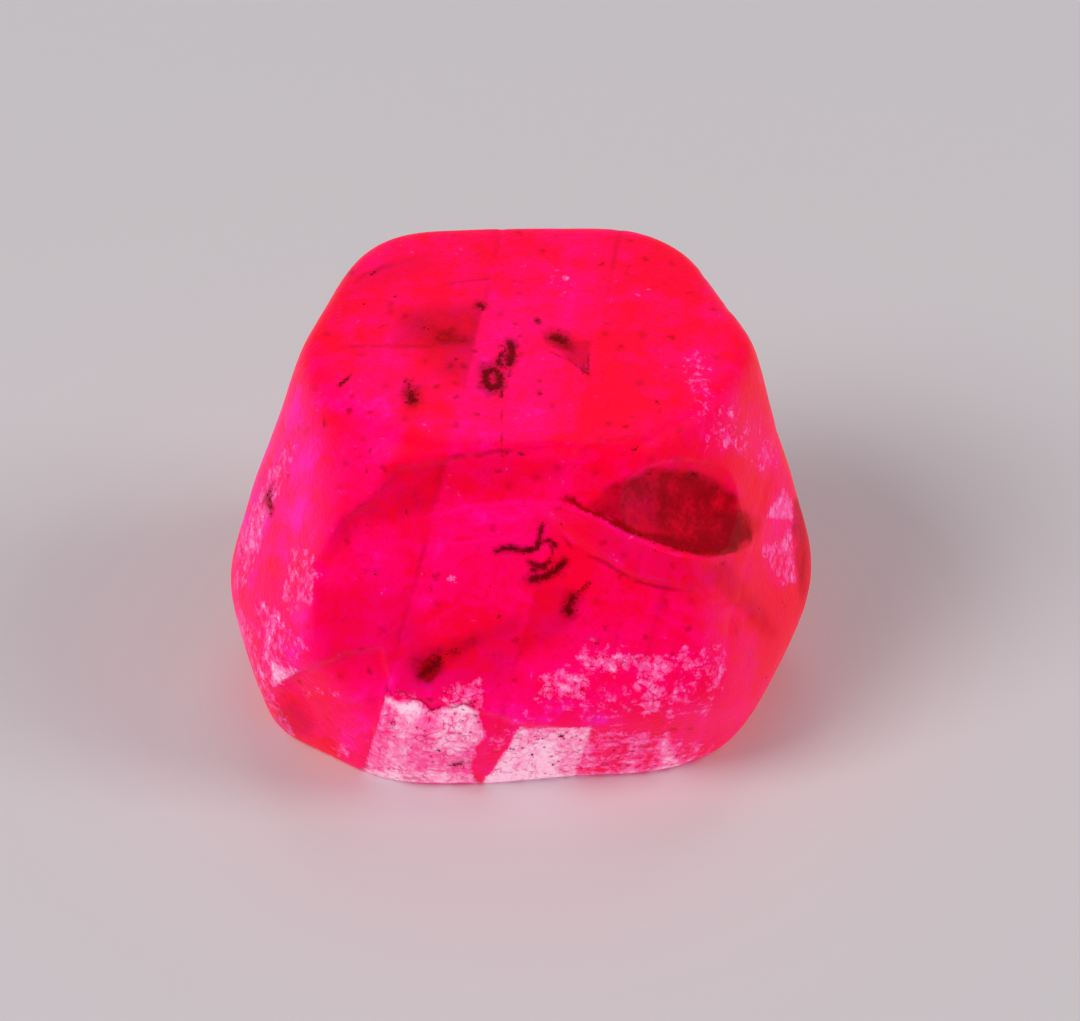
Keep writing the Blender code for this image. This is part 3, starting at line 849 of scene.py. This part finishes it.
def add(tree, kind, inputs=(), **settings):
    """A new node with some settings, and its inputs set to values or linked from sockets."""
    node = tree.nodes.new(kind)
    for name, value in settings.items():
        setattr(node, name, value)
    for key, value in dict(inputs).items():
        if is_socket(value):
            tree.links.new(value, node.inputs[key])
        else:
            node.inputs[key].default_value = value
    return node


# %% Arithmetic and colours with nodes
def math_node(operation, first, second=0.0, third=0.0):
    """One step of arithmetic."""
    values = (first, second, third)
    tree = next(value.id_data for value in values if is_socket(value))
    return add(tree, "ShaderNodeMath", enumerate(values), operation=operation).outputs[0]


def times(first, second):
    """Two values multiplied."""
    return math_node("MULTIPLY", first, second)


def sum_of(*terms):
    """The sum of several values, each given with what to multiply it by."""
    total = 0.0
    for value, weight in terms:
        total = math_node("MULTIPLY_ADD", value, weight, total)
    return total


def stretch(value, low, high):
    """A value stretched smoothly so that low becomes 0 and high 1, and cut off beyond them."""
    inputs = {"Value": value, "From Min": low, "From Max": high}
    return add(value.id_data, "ShaderNodeMapRange", inputs,
               interpolation_type="SMOOTHSTEP").outputs[0]


def mix_colours(share, first, second):
    """Two colours mixed by a share."""
    first, second = (colour if is_socket(colour) else (*colour, 1) for colour in (first, second))
    inputs = {"Factor": share, 6: first, 7: second}
    return add(share.id_data, "ShaderNodeMix", inputs, data_type="RGBA").outputs[2]


print("node kit ready")

# %% [markdown]
# ## Dark grains
# Rubies carry tiny dark grains of other minerals, which sit in clusters and strings. Hundreds of
# them are strewn by Geometry Nodes: points are scattered over the stone as thickly as its grit
# field says, and each gets a small flattened ball with its own size. A grain is half sunk in the
# surface, so no grain floats.

# %% The grains' tree
GRAIN_INPUTS = {"Stone": "Geometry", "Grains per square metre": "Float",
                "Strays per square metre": "Float", "Gathering": "Float", "Smallest": "Float",
                "Largest": "Float", "Seed": "Int", "Finish": "Material"}
FLATTEST, ROUNDEST = (0.6, 0.6, 0.4), (1.4, 1.4, 0.7)  # a grain's length, width and height


def grain_tree():
    """Small flattened balls strewn over a surface, as thickly as its grit field says."""
    tree = bpy.data.node_groups.new("strewn_grains", "GeometryNodeTree")
    for name, kind in GRAIN_INPUTS.items():
        tree.interface.new_socket(name, in_out="INPUT", socket_type="NodeSocket" + kind)
    tree.interface.new_socket("Grains", in_out="OUTPUT", socket_type="NodeSocketGeometry")
    given = add(tree, "NodeGroupInput").outputs
    seed = given["Seed"]
    grit = add(tree, "GeometryNodeInputNamedAttribute", {"Name": "grit"}, data_type="FLOAT")
    gathered = math_node("POWER", grit.outputs[0], given["Gathering"])
    thick = math_node("MULTIPLY_ADD", gathered, given["Grains per square metre"],
                      given["Strays per square metre"])
    points = add(tree, "GeometryNodeDistributePointsOnFaces",
                 {"Mesh": given["Stone"], "Density": thick, "Seed": seed}).outputs
    size = add(tree, "FunctionNodeRandomValue",
               {2: given["Smallest"], 3: given["Largest"], "Seed": seed}, data_type="FLOAT")
    shape = add(tree, "FunctionNodeRandomValue", {0: FLATTEST, 1: ROUNDEST, "Seed": seed},
                data_type="FLOAT_VECTOR")
    scale = add(tree, "ShaderNodeVectorMath", {0: shape.outputs[0], "Scale": size.outputs[1]},
                operation="SCALE")
    ball = add(tree, "GeometryNodeMeshIcoSphere", {"Radius": 1.0, "Subdivisions": 1})
    strewn = add(tree, "GeometryNodeInstanceOnPoints",
                 {"Points": points["Points"], "Instance": ball.outputs["Mesh"],
                  "Rotation": points["Rotation"], "Scale": scale.outputs[0]})
    real = add(tree, "GeometryNodeRealizeInstances", {"Geometry": strewn.outputs[0]})
    finished = add(tree, "GeometryNodeSetMaterial",
                   {"Geometry": real.outputs[0], "Material": given["Finish"]})
    add(tree, "NodeGroupOutput", {"Grains": finished.outputs[0]})
    return tree


print("inputs of the grains' tree:", ", ".join(GRAIN_INPUTS))

# %% [markdown]
# ## Strew the grains
# The tree is run as a modifier on a copy of the stone. Its inputs are set by their identifiers,
# the result becomes a plain mesh, and the copy is thrown away with its modifier.

# %% Strew the grains
GRAINS_PER_SQUARE_MM = 190  # where the grit field is 1
STRAYS_PER_SQUARE_MM = 0.04  # everywhere else
GATHERING = 1.8  # higher keeps the grains nearer the middle of their stroke
GRAIN_RADII = (0.017, 0.048)  # smallest and largest, in millimetres
GRAIN_SEED = 11
BALL_FACES = 20


def strewn_grains(name, stone, finish):
    """A plain mesh of grains strewn over a stone's mesh."""
    source = bpy.data.objects.new(name + "_source", stone.copy())
    scene.collection.objects.link(source)
    modifier = source.modifiers.new("strewn_grains", "NODES")
    modifier.node_group = grain_tree()
    values = {"Grains per square metre": GRAINS_PER_SQUARE_MM / MM ** 2,
              "Strays per square metre": STRAYS_PER_SQUARE_MM / MM ** 2,
              "Gathering": GATHERING, "Seed": GRAIN_SEED, "Finish": finish,
              "Smallest": GRAIN_RADII[0] * MM, "Largest": GRAIN_RADII[1] * MM}
    for socket in modifier.node_group.interface.items_tree:
        if socket.name in values:
            modifier[socket.identifier] = values[socket.name]
    evaluated = source.evaluated_get(bpy.context.evaluated_depsgraph_get())
    mesh = bpy.data.meshes.new_from_object(evaluated)
    mesh.name = name
    bpy.data.objects.remove(source)
    grains = bpy.data.objects.new(name, mesh)
    scene.collection.objects.link(grains)
    return grains


grain_finish = bpy.data.materials.new("dark_mineral")
grains = strewn_grains("mineral_grains", skin, grain_finish)
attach(grains, "root")
print("grains:", len(grains.data.polygons) // BALL_FACES)

# %% [markdown]
# ## A skin texture that both materials share
# Neither the ruby nor the grains in it are polished. One shader node group holds their fine
# unevenness: a coarse and a fine noise added up, given out both as a value and as a bump.

# %% The uneven skin group
FINER = 3.7  # how many times finer the second noise is


def uneven_skin_group():
    """Inputs: how fine and how deep. Outputs: the unevenness, centred on zero, and its normal."""
    group = bpy.data.node_groups.new("uneven_skin", "ShaderNodeTree")
    for name, way, kind in (("Per metre", "INPUT", "Float"), ("Depth", "INPUT", "Float"),
                            ("Unevenness", "OUTPUT", "Float"), ("Normal", "OUTPUT", "Vector")):
        group.interface.new_socket(name, in_out=way, socket_type="NodeSocket" + kind)
    given = add(group, "NodeGroupInput").outputs
    place = add(group, "ShaderNodeTexCoord").outputs["Object"]
    coarse = add(group, "ShaderNodeTexNoise", {"Vector": place, "Scale": given["Per metre"],
                                               "Detail": 5.0, "Roughness": 0.65})
    fine = add(group, "ShaderNodeTexNoise",
               {"Vector": place, "Scale": times(given["Per metre"], FINER), "Detail": 3.0})
    both = sum_of((coarse.outputs["Fac"], 0.65), (fine.outputs["Fac"], 0.35))
    relief = add(group, "ShaderNodeBump", {"Height": both, "Distance": given["Depth"]})
    centred = math_node("SUBTRACT", both, 0.5)
    add(group, "NodeGroupOutput", {"Unevenness": centred, "Normal": relief.outputs[0]})
    return group


UNEVEN_SKIN = uneven_skin_group()


def uneven_skin(tree, per_metre, depth):
    """The group placed in a material with its own values: its outputs."""
    return add(tree, "ShaderNodeGroup", {"Per metre": per_metre, "Depth": depth * MM},
               node_tree=UNEVEN_SKIN).outputs


print("group:", UNEVEN_SKIN.name)

# %% [markdown]
# ## The ruby material
# One Principled shader carries the stone. It is part see-through, with corundum's own refraction,
# and its glow stands for the light that comes up through it. The glow belongs to the outside of
# the skin alone: seen from within, a face is plain glass, so that the far side doesn't shine
# through and wash out the near one. Base Color and glow share one pattern, the stone's own
# colour, which the next cells build up layer by layer.

# %% Colours, material and fields
RUBY_RED = (0.85, 0.0, 0.028)
RUBY_PINK = (0.92, 0.0, 0.125)
HOT_PINK = (0.93, 0.004, 0.36)
DUSKY_RED = (0.50, 0.0, 0.010)
DEEP_RED = (0.30, 0.0, 0.001)
FROSTED = (0.93, 0.08, 0.335)
WHITE_FROST = (0.98, 0.60, 0.78)
# near black red: the stain around grains, and the painted shade deep in the hollow
GRIT_STAIN_AND_DEEP_SHADE = (0.11, 0.0, 0.001)

material = bpy.data.materials.new("ruby")
material.use_nodes = True
material.cycles.emission_sampling = "NONE"  # too faint and wide to be worth aiming rays at
tree = material.node_tree
shader = tree.nodes["Principled BSDF"]
place = add(tree, "ShaderNodeTexCoord").outputs["Object"]
parts = add(tree, "ShaderNodeSeparateXYZ", {0: place}).outputs
fields = {name: add(tree, "ShaderNodeAttribute", attribute_name=name).outputs["Fac"]
          for name in FIELDS}


def along(direction):
    """How far the place lies along a direction."""
    return add(tree, "ShaderNodeVectorMath", {0: place, 1: tuple(direction)},
               operation="DOT_PRODUCT").outputs["Value"]


across_plates = along(PARTING_NORMAL)
print("the material reads", len(fields), "fields")

# %% [markdown]
# ## Noises for the stone
# Marks in a crystal follow its build. Some noises are alike in all directions, from broad zones to
# fine grain. Streaks and bands are drawn out along the plates, by pressing together every way but
# the one across them. The growth layers follow the height and bend down towards both sides.

# %% Noises
SKIN_PER_METRE, SKIN_DEPTH = 1500.0, 0.05  # lumps to a metre, and their height in millimetres
DOME = 14.0  # how strongly the growth layers bend down, per metre


def noise_at(vector, per_metre, detail=4.0, rough=0.6):
    """Noise with that many lumps to a metre, centred on zero."""
    node = add(tree, "ShaderNodeTexNoise", {"Vector": vector, "Scale": per_metre,
                                            "Detail": detail, "Roughness": rough})
    return math_node("SUBTRACT", node.outputs["Fac"], 0.5)


def joined(x, y, z):
    """A place put together from three parts."""
    return add(tree, "ShaderNodeCombineXYZ", {0: x, 1: y, 2: z}).outputs[0]


def drawn_out(amount):
    """The place with all but its way across the plates pressed together."""
    return joined(across_plates, times(parts[1], amount), times(parts[2], amount))


skin_grain = uneven_skin(tree, SKIN_PER_METRE, SKIN_DEPTH)
grain = skin_grain["Unevenness"]
broad = noise_at(place, 260)  # zones 4 mm across
cells = noise_at(place, 900, 3, 0.5)  # patches 1 mm across
blotches = noise_at(place, 3000, 3)
fine = noise_at(place, 5200, 4, 0.7)  # specks 0.2 mm across and less
streaks = noise_at(drawn_out(0.16), 1700, 4, 0.65)
plate_bands = stretch(noise_at(drawn_out(0.02), 620, 1.0), -0.025, 0.035)
plate_bands = math_node("SUBTRACT", plate_bands, 0.5)
domed = sum_of((times(parts[0], parts[0]), DOME), (broad, 0.005), (along(lean_up), 1.0))
layers = joined(times(parts[0], 0.22), times(parts[1], 0.22), domed)
layers = noise_at(layers, 1100, 4, 0.65)
print("noises ready,", len(tree.nodes), "nodes")

# %% [markdown]
# ## The stone's own colour
# Real colour in a crystal is never even: it is zoned along the growth layers, changes a little
# from plate to plate, and is mottled on every scale. The tone adds all of that up. The parting
# planes are worked out from the place itself, so their hairlines stay sharp however coarse the
# mesh is.

# %% Tone, plates and partings
PARTING_LINES = {"left": 0.3, "middle": 0.3, "short_right": 0.12, "far_right": 0.14, "edge": 0.0}
PLATE_TONES = {"left": 0.16, "middle": -0.14, "short_right": 0.05, "far_right": -0.10, "edge": 0.0}
PARTING_LINE_WIDTH = 0.17
PLATE_TONE_EDGE = 0.12

# the blush in the tone holds painted light along the foot and painted shade under the arch
tone = sum_of((broad, 1.5), (cells, 1.2), (grain, 1.7), (streaks, 0.6), (layers, 2.1),
              (plate_bands, 0.1), (fields["blush"], 1.0), (1.0, -0.13))
plate_mm = math_node("MULTIPLY_ADD", grain, 0.25, times(across_plates, 1 / MM))
parting_lines = 0.0
for name, place_mm in PARTINGS.items():
    offset = math_node("SUBTRACT", plate_mm, place_mm)
    past = stretch(offset, -PLATE_TONE_EDGE, PLATE_TONE_EDGE)
    tone = math_node("MULTIPLY_ADD", past, PLATE_TONES[name], tone)
    line = stretch(math_node("ABSOLUTE", offset), PARTING_LINE_WIDTH, 0.0)
    parting_lines = math_node("MULTIPLY_ADD", line, PARTING_LINES[name], parting_lines)
parting_lines = times(parting_lines, stretch(broad, -0.06, 0.14))
stone = mix_colours(stretch(tone, -0.6, 0.6), RUBY_RED, RUBY_PINK)
stone = mix_colours(stretch(tone, 0.4, 1.3), stone, HOT_PINK)
print("tone ready,", len(tree.nodes), "nodes")

# %% [markdown]
# ## Fine lines
# The hairlines are drawn from the distances that the mesh carries, and noise makes them wobble
# and breaks them up. Thin growth layers show as wiggly contours, where a noise crosses zero.

# %% Fine lines
def hairline(side, depth, wobble):
    """A thin line where a signed distance is near zero, made uneven by noise."""
    uneven = sum_of((side, 1.0), (grain, wobble), (fine, wobble * 0.5))
    thin = stretch(math_node("ABSOLUTE", uneven), 1.5, 0.2)
    return times(times(thin, stretch(cells, -0.16, 0.02)), depth)


def contour(value, width):
    """Wiggly lines where a noise crosses zero, like the edges of thin growth layers."""
    return stretch(math_node("ABSOLUTE", value), width, 0.0)


pale_lines = hairline(fields["pale_side"], fields["pale_depth"], 7.0)
dark_lines = hairline(fields["edge_side"], fields["edge_depth"], 5.0)
growth_lines = sum_of((contour(layers, 0.014), 0.5), (contour(streaks, 0.012), 0.35))
growth_lines = times(growth_lines, stretch(cells, -0.02, 0.12))
# pale hairlines mixed in as painted highlights
stone = mix_colours(times(pale_lines, 0.55), stone, HOT_PINK)
stone = mix_colours(times(growth_lines, 0.6), stone, DUSKY_RED)
print("lines ready,", len(tree.nodes), "nodes")

# %% [markdown]
# ## Spots and cracks
# A Voronoi texture splits space into cells. One ragged spot to a cell, with some cells left out by
# lot, strews spots without any order. The walls between cells, warped and broken up by noise, make
# a web of fine cracks.

# %% Spots and cracks
CRACK_WARP = 0.0005  # how far the web of cracks is bent, in metres


def cells_at(vector, per_metre, feature="F1"):
    """Space split into that many cells to a metre: for each place, what lies in its own cell."""
    return add(tree, "ShaderNodeTexVoronoi", {"Vector": vector, "Scale": per_metre},
               feature=feature).outputs


def strewn_spots(per_metre, size, missing):
    """Soft ragged spots, one to a cell: their size in cells, and the share that is missing."""
    cell = cells_at(place, per_metre)
    lot = add(tree, "ShaderNodeSeparateColor", {0: cell["Color"]}).outputs[0]
    ragged = sum_of((cell["Distance"], 1.0), (fine, 0.7), (grain, 0.7))
    return times(stretch(ragged, size, size * 0.3), stretch(lot, missing, missing + 0.3))


warped = add(tree, "ShaderNodeVectorMath",
             {0: joined(blotches, grain, cells), 1: (CRACK_WARP,) * 3, 2: place},
             operation="MULTIPLY_ADD").outputs[0]
vein_gap = cells_at(warped, 2100, "DISTANCE_TO_EDGE")["Distance"]
veins = times(stretch(vein_gap, 0.09, 0.0), stretch(grain, -0.04, 0.07))
cracks = sum_of((veins, 0.36), (contour(streaks, 0.012), 0.2), (contour(fine, 0.01), 0.15))
dark_flecks = strewn_spots(3600, 0.32, 0.3)
brown_spots = times(strewn_spots(1250, 0.25, 0.35), stretch(broad, -0.1, 0.06))
print("spots and cracks ready,", len(tree.nodes), "nodes")

# %% [markdown]
# ## Frost on the stone
# Bruised skin turns white in specks, not as a whole: its field only says how likely a speck is,
# and noise decides. Where the field is strongest the noise is calmer, so the skin is white all
# over, apart from dark flecks and cracks.

# %% Frost
calm = stretch(fields["frost"], 0.5, 1.0)
speckle = sum_of((blotches, 1.7), (grain, 0.9), (fine, 0.6), (streaks, 0.9), (layers, 0.5),
                 (cells, 0.5))
speckle = times(speckle, sum_of((calm, -0.35), (1.0, 1.0)))
frosted_plates = times(plate_bands, stretch(fields["frost"], 0.1, 0.6))
frosty = sum_of((fields["frost"], 1.0), (speckle, 1.0), (frosted_plates, 0.17),
                (pale_lines, 0.35), (cracks, -1.0))
flecks = math_node("MAXIMUM", times(dark_flecks, 0.7), times(cracks, 0.7))
flecks = times(flecks, stretch(fields["frost"], 0.25, 0.8))
for share, colour in ((stretch(frosty, 0.42, 0.8), FROSTED),
                      (stretch(frosty, 0.7, 1.6), WHITE_FROST),
                      (flecks, DEEP_RED), (times(brown_spots, 0.6), DEEP_RED)):
    stone = mix_colours(share, stone, colour)
print("frost ready,", len(tree.nodes), "nodes")

# %% [markdown]
# ## Smoke, shade and stains
# Smoke is a soft veil, so it is mixed in by its own strength, a little uneven along the plates,
# and once more where it is thickest. The same field holds the painted shade of the hollow, the lip
# and the arch, which is thickest and nearly black deep in the hollow. Over it come the dark lines,
# some of them painted shade along the ledges, a fine dust, and the stains around the dark grains,
# wide and faint first, then close and strong.

# %% Smoke and painted shade, dark lines and stains
# the limit holds for painted shade as it does for smoke
MOST_SMOKE_AND_SHADE = 0.92  # however thick the smoke, some of the stone's red shows

uneven_smoke_and_shade = sum_of((grain, 2.2), (cells, 1.4), (streaks, 0.5), (layers, 0.8), (1.0, 1.0))
smoke_and_shade_amount = times(fields["smoke_and_shade"], uneven_smoke_and_shade)
dust = stretch(sum_of((fine, 0.5), (cells, 0.4), (grain, 1.0)), 0.15, 0.32)
halo = stretch(sum_of((fields["halo"], 1.0), (grain, 1.6), (cells, 0.8)), 0.12, 0.9)
ragged = times(sum_of((fine, 1.2), (grain, 3.4)), stretch(fields["halo"], 0.0, 0.4))
stained = stretch(sum_of((fields["grit"], 1.3), (ragged, 1.0)), 0.15, 1.2)
# deep red for smoke and painted shade, near black where they are thickest, as deep in the hollow;
# then the dark hairlines, partly painted shade along the ledges
for share, colour in ((math_node("MINIMUM", smoke_and_shade_amount, MOST_SMOKE_AND_SHADE), DEEP_RED),
                      (times(stretch(smoke_and_shade_amount, 0.8, 1.4), 0.5), GRIT_STAIN_AND_DEEP_SHADE),
                      (math_node("MAXIMUM", dark_lines, parting_lines), DEEP_RED),
                      (times(dust, 0.5), DEEP_RED), (times(halo, 0.6), DEEP_RED),
                      (stained, GRIT_STAIN_AND_DEEP_SHADE)):
    stone = mix_colours(share, stone, colour)
print("colour layers ready,", len(tree.nodes), "nodes")

# %% [markdown]
# ## Light, gloss and relief
# Now the pattern is plugged in. Frosted skin is rougher than clean skin. The ruby's refraction,
# its share of clear light and the strength of its glow are the same all over the stone, so they
# are set as plain numbers on the shader. What light does pass through is reddened by the stone
# itself, which swallows green and blue within a few millimetres and lets red through.

# %% The finished ruby
RUBY_VALUES = {
    "Emission Strength": 0.55, "IOR": 1.77, "Transmission Weight": 0.3,
    "Specular IOR Level": 0.05, "Specular Tint": (1.0, 0.05, 0.15, 1),
}
PASSED = (0.97, 0.02, 0.15)  # how freely red, green and blue pass through
ABSORBED_PER_METRE = 150  # how quickly the rest is swallowed

inside_face = add(tree, "ShaderNodeNewGeometry").outputs["Backfacing"]
glow = mix_colours(inside_face, stone, (0, 0, 0))
rough = sum_of((stretch(frosty, 0.4, 1.0), 0.2), (fields["smoke_and_shade"], 0.15), (grain, 0.3), (1.0, 0.42))
for name, socket in (("Base Color", stone), ("Emission Color", glow), ("Roughness", rough),
                     ("Normal", skin_grain["Normal"])):
    tree.links.new(socket, shader.inputs[name])
for name, value in RUBY_VALUES.items():
    shader.inputs[name].default_value = value
swallowed = add(tree, "ShaderNodeVolumeAbsorption",
                {"Color": (*PASSED, 1), "Density": ABSORBED_PER_METRE})
tree.links.new(swallowed.outputs[0], tree.nodes["Material Output"].inputs["Volume"])
skin.materials.append(material)
print("ruby material:", len(tree.nodes), "nodes")

# %% [markdown]
# ## The grains' material
# The grains are a dark brown mineral. They need little more than their colour, which they also give
# out as a faint glow, painted light for the light that comes through the stone around them: they
# are too small for the eye to see a pattern on them, but the shared skin texture keeps each one
# from catching a hard highlight.

# %% Dark mineral
GRAIN_BROWN = (0.10, 0.0, 0.002)
GRAIN_RED = (0.24, 0.0, 0.004)
# the emission is a faint painted glow in the grains' own colour
GRAIN_VALUES = {"Emission Strength": 0.45, "Roughness": 0.6, "Specular IOR Level": 0.05}
GRAIN_SKIN_PER_METRE, GRAIN_SKIN_DEPTH = 6000.0, 0.004

grain_finish.use_nodes = True
grain_nodes = grain_finish.node_tree
grain_shader = grain_nodes.nodes["Principled BSDF"]
grain_skin = uneven_skin(grain_nodes, GRAIN_SKIN_PER_METRE, GRAIN_SKIN_DEPTH)
grain_colour = mix_colours(stretch(grain_skin["Unevenness"], -0.12, 0.12), GRAIN_BROWN, GRAIN_RED)
for name, socket in (("Base Color", grain_colour), ("Emission Color", grain_colour),
                     ("Normal", grain_skin["Normal"])):
    grain_nodes.links.new(socket, grain_shader.inputs[name])
for name, value in GRAIN_VALUES.items():
    grain_shader.inputs[name].default_value = value
print("dark mineral:", len(grain_nodes.nodes), "nodes")
